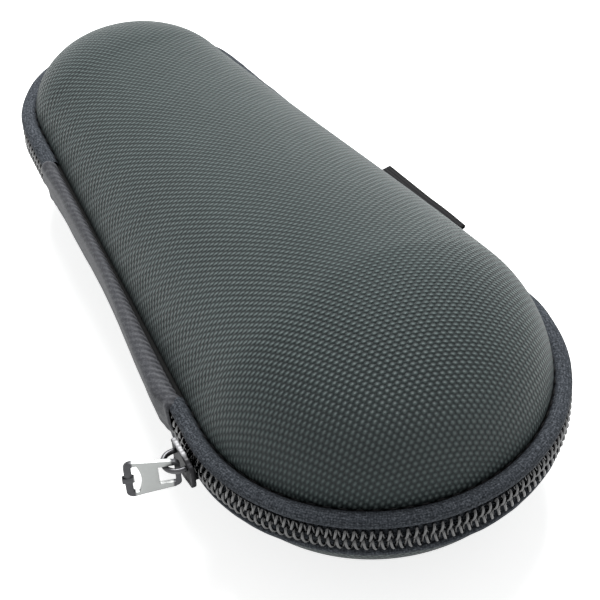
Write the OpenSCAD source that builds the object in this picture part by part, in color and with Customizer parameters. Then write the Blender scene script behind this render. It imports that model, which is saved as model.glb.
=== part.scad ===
// Moulded hard case for an electric shaver, closed by a coil zip that runs round it from one end
// of a cloth hinge to the other. The case stands on its flat bottom, with Z up, the wide end
// towards -Y and the hinge on the -X side. The origin is on the bottom face at mid length.

/* [Outline] */
// Length over the rim bands
case_length = 205; // [190:1:225]
// Radius of the rim at the wide end
wide_radius = 47; // [42:0.5:52]
// Radius of the rim at the narrow end
narrow_radius = 32.5; // [26:0.5:36]

/* [Heights] */
// Height of the zip's middle line above the bottom face
zip_height = 28; // [25:0.5:36]
// Rise of the lid's dome above its flange at the wide end
lid_rise_wide = 36.5; // [26:0.5:44]
// Rise of the lid's dome above its flange at the narrow end
lid_rise_narrow = 18; // [16:0.5:30]
// Roundness of the lid's dome, where 2 is an ellipse
lid_power = 1.9; // [1.7:0.1:2.6]
// Roundness of the lower dome, where 2 is an ellipse
base_power = 2.1; // [1.8:0.1:2.6]
// How much of the lower dome's bulge the flat bottom takes off
bottom_flat = 1.2; // [0.6:0.1:2.5]

/* [Walls] */
// Thickness of the nylon cover
cover_wall = 0.8; // [0.5:0.1:1.2]
// Thickness of the foam shell
foam_wall = 3.2; // [2.4:0.1:4.5]
// Thickness of the lining
lining_wall = 0.8; // [0.5:0.1:1.2]
// Thickness of the flange at the foam shell's rim
flange_wall = 1.5; // [1:0.1:2]

/* [Rim] */
// Width of the rim band from its outer edge to the groove
band_width = 4.3; // [3.4:0.1:5.4]
// Thickness of the woven tapes
tape_wall = 0.9; // [0.6:0.1:1.1]
// Gap between a coil row and its rim band
crease_gap = 0.8; // [0.6:0.1:1.2]
// Thickness of the edge binding inside the rim
binding_wall = 0.8; // [0.5:0.1:1.2]
// Height of the edge binding's leg on the lining
binding_leg = 2.2; // [1.6:0.1:3]

/* [Zip] */
// Height of one coil row
coil_height = 2.45; // [2.2:0.05:3]
// Depth of a coil row in from its outer face to the tape
coil_depth = 1.9; // [1.6:0.1:2.2]
// How far the coil's face stands back from the rim's outer edge
coil_recess = 0.3; // [0.2:0.05:0.6]
// Depth of the notches between the coil's loops
coil_notch = 0.6; // [0.3:0.1:0.9]
// Distance from one coil loop to the next
coil_pitch = 2; // [1.6:0.1:2.6]
// Half of the gap between the two halves of the case
half_gap = 0.15; // [0.1:0.01:0.3]

/* [Hinge] */
// Distance from the wide end's arc to the hinge strip
strip_near = 11; // [8:0.5:20]
// Distance from the narrow end's arc to the hinge strip
strip_far = 16; // [8:0.5:24]
// Thickness of the hinge strip
strip_wall = 1; // [0.7:0.1:1.2]
// How far the hinge strip stands out from the rim band
strip_proud = 0.4; // [0.2:0.1:0.8]
// Width of the hinge's inner cloth on each half
liner_width = 7; // [5:0.5:8]
// Thickness of the hinge's inner cloth
liner_wall = 0.7; // [0.5:0.1:0.8]

/* [Slider] */
// Place of the slider round the wide end's arc, in degrees from +X
slider_angle = 177; // [177:1:190]
// Length of the slider along the zip
slider_length = 11; // [8:0.5:12]
// Height of the slider's plate
slider_height = 8.2; // [7.4:0.1:8.6]
// Thickness of the slider's plate
slider_wall = 1.4; // [1:0.1:2]
// Gap between the rim's outer edge and the slider's plate
slider_gap = 1.1; // [1.1:0.1:1.5]
// Thickness of the hook that holds the slider on the lower coil row
hook_wall = 0.5; // [0.3:0.05:0.5]
// How far the hook reaches in past the rim's outer edge
hook_reach = 1.5; // [1:0.1:1.8]
// Radius of the crown arch's middle line
crown_radius = 3.2; // [3:0.1:3.6]
// Length of the crown arch's straight legs
crown_leg = 0.8; // [0.6:0.1:2]
// Diameter of the crown arch's bar
crown_bar = 1.3; // [1:0.1:1.4]
// Height of the crown above the zip's middle line
crown_lift = 1.5; // [0:0.1:1.6]
// How far the crown stands back from the slider's middle, towards the hinge
crown_back = 0.3; // [0:0.1:1]

/* [Pull] */
// Direction of the pull, in degrees from the slider's outward direction
pull_angle = -17; // [-30:1:30]
// Length of the pull from its hinge line
pull_length = 12.3; // [11:0.1:16]
// Width of the pull at its eye
pull_eye_width = 8; // [7.8:0.1:8.6]
// Width of the pull at its free end
pull_end_width = 11; // [9:0.5:12]
// Thickness of the pull
pull_wall = 1.2; // [0.9:0.1:1.3]
// Width of the bars round the pull's windows
pull_bar = 1.2; // [1:0.1:1.4]
// Distance from the pull's hinge line to the end of its eye window
eye_reach = 4.3; // [4.2:0.1:5]
// Length of the D window along the pull
d_window = 2.9; // [2:0.1:4.5]
// How far the pull hangs below the zip's middle line
pull_drop = 0.5; // [0:0.1:0.5]
// Length of the nub on the pull's end bar
nub_size = 1.6; // [1:0.1:2.2]

/* [Side tab] */
// Width of the side tab along the rim
tab_width = 30.6; // [15:0.1:40]
// Distance from the wide end's arc to the side tab
tab_start = 25; // [10:1:60]
// How far the side tab stands out past the rim
tab_reach = 2.6; // [1.5:0.1:8]
// Thickness of the folded side tab
tab_wall = 1.4; // [1:0.1:2]

/* [Inside] */
// Distance from the case's middle to the free edge of the net pocket, towards the wide end
net_edge = 12; // [5:1:30]
// Width of the net pocket's elastic hem
hem_width = 6; // [4:0.5:10]
// Thickness of the net
net_wall = 0.6; // [0.4:0.1:0.8]
// Distance from one gap in the net to the next
net_pitch = 5.4; // [5.2:0.1:7]
// Width of the net's threads
net_thread = 1.3; // [0.8:0.1:1.6]
// Width of the tape round the net
net_tape = 2.6; // [2:0.1:4]
// Distance from the case's middle to the middle of the holding strap, towards the narrow end
strap_place = 28; // [10:1:45]
// Width of the holding strap
strap_width = 25; // [15:1:35]
// Thickness of the holding strap
strap_wall = 1.2; // [0.8:0.1:1.6]

/* [Seam] */
// Length of one stitch
stitch_length = 2.8; // [2:0.1:4]
// Distance from one stitch to the next
stitch_pitch = 4; // [3.2:0.1:6]
// Thickness of the sewing thread
thread_size = 0.5; // [0.3:0.05:0.6]

/* [Hidden] */

// The outline is two circles joined by their outer tangents.
wide_y = wide_radius - case_length / 2;
narrow_y = case_length / 2 - narrow_radius;
span = narrow_y - wide_y;
taper = asin((wide_radius - narrow_radius) / span);
flank = span * cos(taper);

// Heights of the rim's parts, counted from the zip's middle line.
coil_top = half_gap + coil_height;
band_low = coil_top + crease_gap;
flange_low = band_low + tape_wall;
flange_top = flange_low + flange_wall;
band_top = flange_top + tape_wall;
leg_top = flange_low + binding_leg;

// Distances in from the rim's outer edge.
coil_back = coil_recess + coil_depth;
tape_back = coil_back + tape_wall;
cover_in = band_width + cover_wall;
foam_in = cover_in + foam_wall;
lining_in = foam_in + lining_wall;
binding_in = lining_in + binding_wall;
facet_room = 0.1;
seat_in = lining_in + 0.45;
net_in = seat_in + binding_wall;

flank_lap = 0.3;

// Divisions of the domes.
wide_steps = 14;
flank_steps = 8;
narrow_steps = 10;
dome_angles = [0, 11, 22, 33, 44, 55, 66, 77, 85];
base_rise = zip_height - flange_top + bottom_flat;
lid_flat = 2 * (lid_rise_wide + lid_rise_narrow);
base_flat = zip_height;
$fn = 96;

nylon = [0.20, 0.22, 0.22];
woven = [0.15, 0.15, 0.17];
coil_black = [0.10, 0.10, 0.11];
metal = [0.45, 0.45, 0.47];

// How far the dome's height has gone over from its wide to its narrow value, mostly straight.
function eased(u) = let (v = min(1, max(0, u))) v * (0.6 + 0.4 * v * (3 - 2 * v));
function rise_at(y, rises) = rises[0] + (rises[1] - rises[0]) * eased((y - wide_y) / span);

// Right half of the outline for a wide and a narrow radius, from the wide tip to the narrow tip.
function half_outline(wide, narrow) =
    let (a = asin((wide - narrow) / span))
    concat(
        [for (k = [0 : wide_steps - 1]) let (t = -90 + (90 + a) * k / wide_steps)
            [wide * cos(t), wide_y + wide * sin(t)]],
        [for (k = [0 : flank_steps - 1]) let (u = k / flank_steps)
            [(wide + (narrow - wide) * u) * cos(a), wide_y + span * u + (wide + (narrow - wide) * u) * sin(a)]],
        [for (k = [0 : narrow_steps]) let (t = a + (90 - a) * k / narrow_steps)
            [narrow * cos(t), narrow_y + narrow * sin(t)]]
    );

function outline(wide, narrow) =
    let (half = half_outline(wide, narrow), last = len(half) - 1)
    concat(half, [for (k = [last - 1 : -1 : 1]) [-half[k][0], half[k][1]]]);

function rim_outline(inset) = outline(wide_radius - inset, narrow_radius - inset);
function rim_ring(inset, z) = [for (p = rim_outline(inset)) [p[0], p[1], z]];

// One level of a dome: the outline shrinks as a superellipse while the height rises.
function dome_ring(inset, foot, phi, rises, power, flat) =
    let (
        c = pow(cos(phi), 2 / power),
        t = pow(sin(phi), 2 / power),
        drop = inset - band_width
    )
    [for (p = outline((wide_radius - inset) * c, (narrow_radius - inset) * c))
        let (top = flange_top + rise_at(p[1], rises) - drop)
        [p[0], p[1], min(foot + (top - foot) * t, flat - drop)]];

function dome_rings(inset, foot, form, angles) =
    [for (phi = angles) dome_ring(inset, foot, phi, form[0], form[1], form[2])];

angles_down = [for (k = [len(dome_angles) - 1 : -1 : 0]) dome_angles[k]];
lid_form = [[lid_rise_wide, lid_rise_narrow], lid_power, lid_flat];
base_form = [[base_rise, base_rise], base_power, base_flat];

// Faces across a ring whose right and left points pair up.
function cap_faces(first, n) =
    [for (k = [0 : n / 2 - 1])
        let (a = first + k, b = first + k + 1, c = first + n - k - 1, d = first + (n - k) % n)
        each concat(c == b ? [] : [[a, b, c]], a == d ? [] : [[a, c, d]])];

function flipped(faces) = [for (f = faces) [f[2], f[1], f[0]]];

// Closed skin through a list of rings, closed off across the first and the last one. The first
// rings run down the outside, and their quads are split along the other diagonal, so that the
// facets of one piece's outside match those of the next piece's inside.
module loft(rings) {
    n = len(rings[0]);
    last = len(rings) - 1;
    down = len(dome_angles) - 1;
    sides = [for (j = [0 : last - 1], k = [0 : n - 1])
        let (a = j * n + k, b = j * n + (k + 1) % n, c = b + n, d = a + n)
        each j < down ? [[a, b, d], [b, c, d]] : [[a, b, c], [a, c, d]]];
    polyhedron(
        points = [for (ring = rings) each ring],
        faces = concat(flipped(cap_faces(0, n)), sides, cap_faces(last * n, n))
    );
}

// Lifts a piece built about the zip's middle line to its height on the case.
module at_zip(side) {
    translate([0, 0, zip_height])
        mirror([0, 0, side < 0 ? 1 : 0])
            children();
}

module cover(form) {
    loft(concat(
        dome_rings(band_width, flange_top, form, angles_down),
        dome_rings(cover_in, flange_top, form, dome_angles)
    ));
}

module foam_shell(form) {
    loft(concat(
        dome_rings(cover_in, flange_top, form, angles_down),
        [rim_ring(tape_wall, flange_top), rim_ring(tape_wall, flange_low)],
        dome_rings(foam_in, flange_low, form, dome_angles)
    ));
}

module lining(form) {
    loft(concat(
        dome_rings(foam_in, flange_low, form, angles_down),
        dome_rings(lining_in, flange_low, form, dome_angles)
    ));
}

// Profiles are lists of [distance in from the rim's edge, height above the zip's middle line].
module flank_piece(profile, start, stop) {
    translate([0, narrow_y, 0])
        rotate([0, 0, taper])
            translate([0, start - flank, 0])
                translate([0, stop - start, 0])
                    rotate([90, 0, 0])
                        linear_extrude(stop - start)
                            polygon([for (p = profile) [narrow_radius - p[0], p[1]]]);
}

module wide_piece(profile) {
    translate([0, wide_y, 0])
        rotate([0, 0, 180 - taper])
            rotate_extrude(angle = 180 + 2 * taper)
                polygon([for (p = profile) [wide_radius - p[0], p[1]]]);
}

module narrow_piece(profile) {
    translate([0, narrow_y, 0])
        rotate([0, 0, taper])
            rotate_extrude(angle = 180 - 2 * taper)
                polygon([for (p = profile) [narrow_radius - p[0], p[1]]]);
}

module left() {
    mirror([1, 0, 0]) children();
}

// A profile carried right round the rim, with the flanks lapping a little over the wide arc.
module whole_rim(profile) {
    wide_piece(profile);
    narrow_piece(profile);
    flank_piece(profile, -flank_lap, flank);
    left() flank_piece(profile, -flank_lap, flank);
}

// A profile carried round the rim from one end of the hinge strip to the other.
module zip_rim(profile) {
    wide_piece(profile);
    narrow_piece(profile);
    flank_piece(profile, -flank_lap, flank);
    left() flank_piece(profile, -flank_lap, strip_near);
    left() flank_piece(profile, flank - strip_far, flank);
}

// A profile carried along the hinge strip only.
module hinge_rim(profile) {
    left() flank_piece(profile, strip_near, flank - strip_far);
}

// Rounded outer side of a rim band, from the groove down to the crease.
function band_outside(proud) = [
    [band_width, band_top - 0.1 * tape_wall],
    [band_width * 0.78, band_top + proud / 2],
    [band_width * 0.5, band_top + proud / 2],
    [band_width * 0.25, band_top - 0.35 * tape_wall],
    [-0.3 * proud + band_width * 0.08, flange_top],
    [-proud, flange_top - flange_wall * 0.5],
    [-proud, flange_low]
];

tape_profile = concat(
    band_outside(0),
    [
        [tape_wall * 0.4, band_low + tape_wall * 0.4],
        [tape_wall, band_low],
        [coil_back, band_low],
        [coil_back, half_gap],
        [tape_back, half_gap],
        [tape_back, flange_low],
        [tape_wall, flange_low],
        [tape_wall, flange_top],
        [band_width, flange_top]
    ]
);

strip_profile = concat(
    band_outside(strip_proud),
    [
        [-strip_proud, half_gap],
        [strip_wall - strip_proud, half_gap],
        [strip_wall - strip_proud, flange_low],
        [tape_wall, flange_low],
        [tape_wall, flange_top],
        [band_width, flange_top]
    ]
);

liner_profile = [
    [strip_wall - strip_proud, half_gap],
    [strip_wall - strip_proud, band_low + tape_wall - binding_wall],
    [strip_wall - strip_proud + liner_width, flange_low - binding_wall],
    [strip_wall - strip_proud + liner_width, flange_low - binding_wall - liner_wall],
    [strip_wall - strip_proud + liner_wall, flange_low - binding_wall - liner_wall],
    [strip_wall - strip_proud + liner_wall, half_gap]
];

binding_profile = [
    [tape_back, flange_low],
    [lining_in + facet_room, flange_low],
    [seat_in, leg_top],
    [seat_in + binding_wall, leg_top],
    [binding_in + facet_room, flange_low - binding_wall],
    [tape_back, flange_low - binding_wall]
];

// A place on the zip's path at a distance along it and in from the rim's edge.
wide_arc = wide_radius * (180 + 2 * taper) * PI / 180;
narrow_arc = narrow_radius * (180 - 2 * taper) * PI / 180;
zip_length = strip_near + wide_arc + flank + narrow_arc + strip_far;

function on_flank(inset, d, side) = [
    side * ((wide_radius - inset) * cos(taper) - d * sin(taper)),
    wide_y + (wide_radius - inset) * sin(taper) + d * cos(taper)
];
function on_circle(radius, y, angle) = [radius * cos(angle), y + radius * sin(angle)];

function on_path(s, inset) =
    let (
        s1 = s - strip_near,
        s2 = s1 - wide_arc,
        s3 = s2 - flank,
        s4 = s3 - narrow_arc
    )
    s1 < 0 ? on_flank(inset, -s1, -1)
    : s2 < 0 ? on_circle(wide_radius - inset, wide_y, 180 - taper + s1 / wide_radius * 180 / PI)
    : s3 < 0 ? on_flank(inset, s2, 1)
    : s4 < 0 ? on_circle(narrow_radius - inset, narrow_y, taper + s3 / narrow_radius * 180 / PI)
    : on_flank(inset, flank - s4, -1);

function path_heading(s) =
    let (p = on_path(s - 0.1, band_width), q = on_path(s + 0.1, band_width))
    atan2(q[1] - p[1], q[0] - p[0]);

// One coil row: a band whose outer side goes in and out once for each loop.
module coil_row(shift) {
    loops = floor((zip_length - coil_pitch) / coil_pitch);
    back_steps = ceil(zip_length / 5);
    translate([0, 0, half_gap])
        linear_extrude(coil_height)
            polygon(concat(
                [for (k = [0 : loops - 1]) each [
                    on_path((k + shift + 0.25) * coil_pitch, coil_recess + coil_notch),
                    on_path((k + shift + 0.5) * coil_pitch, coil_recess),
                    on_path((k + shift + 0.75) * coil_pitch, coil_recess)
                ]],
                [for (k = [back_steps : -1 : 0]) on_path(k * zip_length / back_steps, coil_back - facet_room)]
            ));
}

// Stitches along the rim band's inner edge.
module stitch_row() {
    count = floor(zip_length / stitch_pitch);
    for (k = [0 : count - 1]) {
        s = (k + 0.5) * zip_length / count;
        p = on_path(s, band_width - thread_size);
        translate([p[0], p[1], band_top + thread_size / 2])
            rotate([0, 0, path_heading(s)])
                cube([stitch_length, thread_size, thread_size], center = true);
    }
}

module lower_shell() {
    color(coil_black) at_zip(-1) foam_shell(base_form);
}

module upper_shell() {
    color(coil_black) at_zip(1) foam_shell(lid_form);
}

module lower_cover() {
    color(nylon) at_zip(-1) cover(base_form);
}

module upper_cover() {
    color(nylon) at_zip(1) cover(lid_form);
}

module lower_lining() {
    color(woven) at_zip(-1) lining(base_form);
}

module upper_lining() {
    color(woven) at_zip(1) lining(lid_form);
}

module lower_tape() {
    color(woven) at_zip(-1) zip_rim(tape_profile);
}

module upper_tape() {
    color(woven) at_zip(1) zip_rim(tape_profile);
}

module lower_coil() {
    color(coil_black) at_zip(-1) coil_row(0);
}

module upper_coil() {
    color(coil_black) at_zip(1) coil_row(0.5);
}

module lower_binding() {
    color(woven) at_zip(-1) whole_rim(binding_profile);
}

module upper_binding() {
    color(woven) at_zip(1) whole_rim(binding_profile);
}

module lower_seam_thread() {
    color(coil_black) at_zip(-1) stitch_row();
}

module upper_seam_thread() {
    color(coil_black) at_zip(1) stitch_row();
}

module hinge_strip_lower() {
    color(nylon) at_zip(-1) hinge_rim(strip_profile);
}

module hinge_strip_upper() {
    color(nylon) at_zip(1) hinge_rim(strip_profile);
}

module hinge_liner_lower() {
    color(woven) at_zip(-1) hinge_rim(liner_profile);
}

module hinge_liner_upper() {
    color(woven) at_zip(1) hinge_rim(liner_profile);
}

// Half width of the space inside the lining at a place along the case.
function inner_half(inset, y) = ((wide_radius - inset) - (y - wide_y) * sin(taper)) / cos(taper);

// Elastic strap across the lower half, sewn under the edge binding at both sides.
module holding_strap() {
    near = strap_place - strap_width / 2;
    far = strap_place + strap_width / 2;
    color(coil_black)
        at_zip(-1)
            translate([0, 0, leg_top])
                linear_extrude(strap_wall)
                    polygon([
                        [-inner_half(seat_in, near), near], [inner_half(seat_in, near), near],
                        [inner_half(seat_in, far), far], [-inner_half(seat_in, far), far]
                    ]);
}

// The part of a rim outline that lies on the wide side of the net pocket's free edge.
module wide_part(inset, edge) {
    intersection() {
        polygon(rim_outline(inset));
        translate([-wide_radius, wide_y - wide_radius])
            square([2 * wide_radius, -edge - wide_y + wide_radius]);
    }
}

module mesh_panel() {
    reach = wide_radius - net_in - net_tape;
    gap = net_pitch - net_thread;
    columns = floor(reach / net_pitch);
    rows = floor((reach - wide_y - net_edge - hem_width) / net_pitch);
    edge = -net_edge - hem_width - net_thread;
    color(coil_black)
        at_zip(1)
            translate([0, 0, leg_top])
                linear_extrude(net_wall)
                    difference() {
                        wide_part(seat_in, net_edge);
                        for (i = [-columns : columns], j = [0 : rows - 1]) {
                            x = i * net_pitch;
                            y = edge - (j + 0.5) * net_pitch;
                            deep = max(0, wide_y - (y - gap / 2));
                            limit = sqrt(max(0, reach * reach - deep * deep));
                            if (deep < reach && abs(x) + gap / 2 < limit)
                                translate([x, y]) square(gap, center = true);
                        }
                    }
}

module mesh_binding() {
    color(woven)
        at_zip(1)
            translate([0, 0, leg_top - net_wall])
                linear_extrude(net_wall)
                    difference() {
                        wide_part(net_in, net_edge + hem_width);
                        wide_part(net_in + net_tape, net_edge + hem_width - net_tape);
                    }
}

module mesh_hem() {
    color(woven)
        at_zip(1)
            translate([0, 0, leg_top - 1.5 * net_wall])
                linear_extrude(1.5 * net_wall)
                    difference() {
                        wide_part(net_in, net_edge);
                        wide_part(0, net_edge + hem_width);
                    }
}

// Folded tape sewn into the groove on the opening side, lying over the lid's rim band.
module side_tab() {
    half = tab_wall / 2;
    tab_root = band_width - 1.5 * thread_size - 0.05;
    color(coil_black)
        at_zip(1)
            flank_piece(concat(
                [[tab_root, band_top + tab_wall], [tab_root, band_top]],
                [for (a = [-90 : 20 : 90]) [half - tab_reach - half * cos(a), band_top + half + half * sin(a)]]
            ), tab_start, tab_start + tab_width);
}

// Puts a piece on the zip's path, with X pointing out and Y along the zip.
module at_slider() {
    translate([0, wide_y, zip_height])
        rotate([0, 0, slider_angle])
            translate([wide_radius, 0, 0])
                children();
}

crown_seat = slider_gap + slider_wall;
crown_middle = crown_seat + crown_leg;
pull_middle = crown_middle + 0.5;
pull_side = 1.4 - crown_back;

// Slider plate outside the chain, with a hook into the crease under the lower coil row.
module slider_body() {
    waist = slider_height * 0.8;
    hook_middle = coil_top + crease_gap / 2;
    color(metal)
        at_slider() {
            translate([slider_gap, 0, 0])
                rotate([90, 0, 90])
                    linear_extrude(slider_wall)
                        polygon([
                            [-slider_length / 2, -slider_height / 2 + 1], [-slider_length / 2 + 1, -slider_height / 2],
                            [0, -slider_height / 2], [slider_length / 2 - 1, -waist / 2],
                            [slider_length / 2, -waist / 2 + 1], [slider_length / 2, waist / 2 - 1],
                            [slider_length / 2 - 1, waist / 2], [0, slider_height / 2],
                            [-slider_length / 2 + 1, slider_height / 2], [-slider_length / 2, slider_height / 2 - 1]
                        ]);
            translate([-hook_reach, -slider_length * 0.4, -hook_middle - hook_wall / 2])
                cube([hook_reach + slider_gap + slider_wall / 2, slider_length * 0.7, hook_wall]);
        }
}

// Arch that stands on the slider's plate and holds the pull.
module slider_crown() {
    color(metal)
        at_slider() {
            translate([crown_middle, -crown_back, crown_lift])
                rotate([0, 0, -90])
                    rotate_extrude(angle = 180)
                        translate([crown_radius, 0])
                            circle(d = crown_bar, $fn = 32);
            for (side = [-1, 1])
                translate([crown_seat, side * crown_radius - crown_back, crown_lift])
                    rotate([0, 90, 0])
                        cylinder(h = crown_leg, d = crown_bar, $fn = 32);
        }
}

// Flat tapered pull with an eye window round the crown and a D window at its free end.
module pull_tab() {
    eye_half = pull_eye_width / 2;
    end_half = pull_end_width / 2;
    d_start = pull_length - pull_bar - d_window;
    color(metal)
        at_slider()
            translate([pull_middle, pull_side, -pull_drop])
                rotate([0, 0, pull_angle])
                    rotate([90, 0, 0])
                        translate([0, 0, -pull_wall / 2])
                            linear_extrude(pull_wall)
                                difference() {
                                    union() {
                                        polygon([
                                            [-pull_bar / 2, -eye_half + 1], [-pull_bar / 2 + 1, -eye_half],
                                            [pull_length - 1.6, -end_half], [pull_length - 0.5, -end_half + 0.9],
                                            [pull_length, -end_half + 2.4], [pull_length, end_half - 2.4],
                                            [pull_length - 0.5, end_half - 0.9], [pull_length - 1.6, end_half],
                                            [-pull_bar / 2 + 1, eye_half], [-pull_bar / 2, eye_half - 1]
                                        ]);
                                        translate([pull_length - pull_bar / 2, 0])
                                            square([pull_bar + nub_size, nub_size], center = true);
                                    }
                                    translate([pull_bar / 2, -eye_half + pull_bar])
                                        square([eye_reach - pull_bar / 2, pull_eye_width - 2 * pull_bar]);
                                    intersection() {
                                        translate([d_start, -end_half + pull_bar])
                                            square([d_window, pull_end_width - 2 * pull_bar]);
                                        translate([d_start + pull_end_width, 0])
                                            circle(r = pull_end_width, $fn = 96);
                                    }
                                }
}

lower_shell();
lower_cover();
lower_lining();
lower_tape();
lower_coil();
lower_binding();
lower_seam_thread();
hinge_strip_lower();
hinge_liner_lower();
holding_strap();
upper_shell();
upper_cover();
upper_lining();
upper_tape();
upper_coil();
upper_binding();
upper_seam_thread();
hinge_strip_upper();
hinge_liner_upper();
mesh_panel();
mesh_binding();
mesh_hem();
side_tab();
slider_body();
slider_crown();
pull_tab();
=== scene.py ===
import math
import bmesh
import bpy
import numpy as np
from mathutils import Matrix, Vector


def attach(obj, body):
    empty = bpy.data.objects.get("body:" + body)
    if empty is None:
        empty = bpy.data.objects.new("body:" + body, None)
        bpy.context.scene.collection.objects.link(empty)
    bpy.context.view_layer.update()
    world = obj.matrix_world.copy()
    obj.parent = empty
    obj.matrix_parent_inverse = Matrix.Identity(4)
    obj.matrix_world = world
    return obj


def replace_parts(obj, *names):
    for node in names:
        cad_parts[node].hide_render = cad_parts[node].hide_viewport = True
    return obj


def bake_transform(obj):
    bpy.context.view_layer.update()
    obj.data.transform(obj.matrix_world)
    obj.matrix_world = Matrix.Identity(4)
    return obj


# Hard case for an electric shaver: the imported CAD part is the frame, and cloth, zip and metal are built
# round it. Lengths in the dictionaries are millimetres, and meshes are made in metres.
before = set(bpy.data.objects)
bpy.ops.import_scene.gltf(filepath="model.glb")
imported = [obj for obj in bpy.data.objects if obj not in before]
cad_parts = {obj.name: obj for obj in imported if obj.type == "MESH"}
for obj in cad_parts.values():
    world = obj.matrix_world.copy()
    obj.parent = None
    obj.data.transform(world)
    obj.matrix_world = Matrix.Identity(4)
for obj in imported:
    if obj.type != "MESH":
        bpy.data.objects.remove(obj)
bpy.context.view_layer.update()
mm = 0.001
print("frame loaded")

# Heights count from the zip's middle line, and insets from the rim's outer edge.
rim = {
    "length": 205.0, "wide": 47.0, "narrow": 32.5, "zipHeight": 28.0,
    "flangeLow": 4.3, "flangeTop": 5.8, "bandTop": 6.7, "legTop": 6.5,
    "band": 4.3, "coverIn": 5.1, "foamIn": 8.3, "liningIn": 9.1, "seatIn": 9.55, "netIn": 10.35,
    "stripNear": 11.0, "stripFar": 16.0,
}
wideY = rim["wide"] - rim["length"] / 2
narrowY = rim["length"] / 2 - rim["narrow"]
span = narrowY - wideY
taper = math.asin((rim["wide"] - rim["narrow"]) / span)
flank = span * math.cos(taper)
wideArc = rim["wide"] * (math.pi + 2 * taper)
narrowArc = rim["narrow"] * (math.pi - 2 * taper)
around = wideArc + narrowArc + 2 * flank
zipStart, zipEnd = -rim["stripNear"], wideArc + flank + narrowArc + rim["stripFar"]


# The rim's outer edge as a path: s starts where the hinge side's straight part meets the wide arc,
# runs round the wide end, up the tab side, round the narrow end and back down the hinge side.
def pathAt(s):
    s = np.mod(np.asarray(s, float), around)
    wide, narrow = rim["wide"], rim["narrow"]
    cosT, sinT = math.cos(taper), math.sin(taper)
    wideTurn = math.pi - taper + s / wide
    up = s - wideArc
    narrowTurn = taper + (up - flank) / narrow
    down = s - wideArc - flank - narrowArc
    part = [s < wideArc, up < flank, down < 0]
    nx = np.select(part, [np.cos(wideTurn), cosT, np.cos(narrowTurn)], -cosT)
    ny = np.select(part, [np.sin(wideTurn), sinT, np.sin(narrowTurn)], sinT)
    x = np.select(
        part,
        [wide * np.cos(wideTurn), wide * cosT - up * sinT, narrow * np.cos(narrowTurn)],
        -narrow * cosT - down * sinT,
    )
    y = np.select(
        part,
        [
            wideY + wide * np.sin(wideTurn),
            wideY + wide * sinT + up * cosT,
            narrowY + narrow * np.sin(narrowTurn),
        ],
        narrowY + narrow * sinT - down * cosT,
    )
    return np.stack([x, y], -1), np.stack([nx, ny], -1)


# Points at s, set in from the rim's edge and up from the zip's middle line; all three arrays broadcast.
def rimPoints(s, inset, up):
    s, inset, up = np.broadcast_arrays(np.asarray(s, float), inset, up)
    p, n = pathAt(s)
    xy = p - n * inset[..., None]
    return np.concatenate([xy, (rim["zipHeight"] + up)[..., None]], -1)


# Smooth value noise along one line: random knots joined by cosines.
def wander(s, step, amount, seed):
    knots = np.random.default_rng(seed).uniform(-1, 1, 4096)
    u = np.asarray(s, float) / step + 60
    k = np.floor(u).astype(int)
    f = (1 - np.cos((u - k) * math.pi)) / 2
    return amount * (knots[k] * (1 - f) + knots[k + 1] * f)


# Rises smoothly from 0 at a to 1 at b.
def smooth(x, a, b):
    t = np.clip((x - a) / (b - a), 0, 1)
    return t * t * (3 - 2 * t)


# Arrays broadcast to one shape and stacked as a last axis.
def spread(*parts):
    return np.stack(np.broadcast_arrays(*parts), -1)


# Faces join each grid point to the next along both directions.
def gridQuads(rows, cols, first=0, closeRows=False, closeCols=False):
    index = first + np.arange(rows * cols).reshape(rows, cols)
    if closeRows:
        index = np.concatenate([index, index[:1]], 0)
    if closeCols:
        index = np.concatenate([index, index[:, :1]], 1)
    return np.stack([index[:-1, :-1], index[:-1, 1:], index[1:, 1:], index[1:, :-1]], -1).reshape(-1, 4)


def meshFromGrid(name, points, body, closeRows=False, closeCols=False, cloth=None, flip=False, weld=False):
    quads = gridQuads(*points.shape[:2], 0, closeRows, closeCols)
    if flip:
        quads = quads[:, ::-1]
    flat = None if cloth is None else cloth.reshape(-1, cloth.shape[-1])
    return meshFromArrays(name, points.reshape(-1, 3), quads, body, flat, weld=weld)


# Several grids of one size, such as stitches or threads, as one mesh: points are [piece, row, column, xyz].
def meshFromCopies(name, points, body):
    count, rows, cols = points.shape[:3]
    one = gridQuads(rows, cols, closeCols=True)
    quads = (one[None] + (np.arange(count) * rows * cols)[:, None, None]).reshape(-1, 4)
    return meshFromArrays(name, points.reshape(-1, 3), quads, body, weld=True)


def meshFromArrays(name, verts, quads, body, cloth=None, smoothed=True, weld=False):
    mesh = bpy.data.meshes.new(name)
    mesh.vertices.add(len(verts))
    mesh.vertices.foreach_set("co", (verts * mm).astype(np.float32).ravel())
    mesh.loops.add(quads.size)
    mesh.loops.foreach_set("vertex_index", quads.ravel().astype(np.int32))
    mesh.polygons.add(len(quads))
    mesh.polygons.foreach_set("loop_start", np.arange(0, quads.size, quads.shape[1], dtype=np.int32))
    mesh.update(calc_edges=True)
    if cloth is not None:
        full = np.zeros((len(verts), 3), np.float32)
        full[:, :cloth.shape[1]] = cloth
        layer = mesh.attributes.new("cloth", "FLOAT_VECTOR", "POINT")
        layer.data.foreach_set("vector", full.ravel())
    if weld:
        shape = bmesh.new()
        shape.from_mesh(mesh)
        bmesh.ops.remove_doubles(shape, verts=shape.verts, dist=2e-6)
        shape.to_mesh(mesh)
        shape.free()
    mesh.validate()
    mesh.polygons.foreach_set("use_smooth", np.full(len(mesh.polygons), smoothed))
    obj = bpy.data.objects.new(name, mesh)
    bpy.context.scene.collection.objects.link(obj)
    if body:
        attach(obj, body)
    return obj


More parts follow.
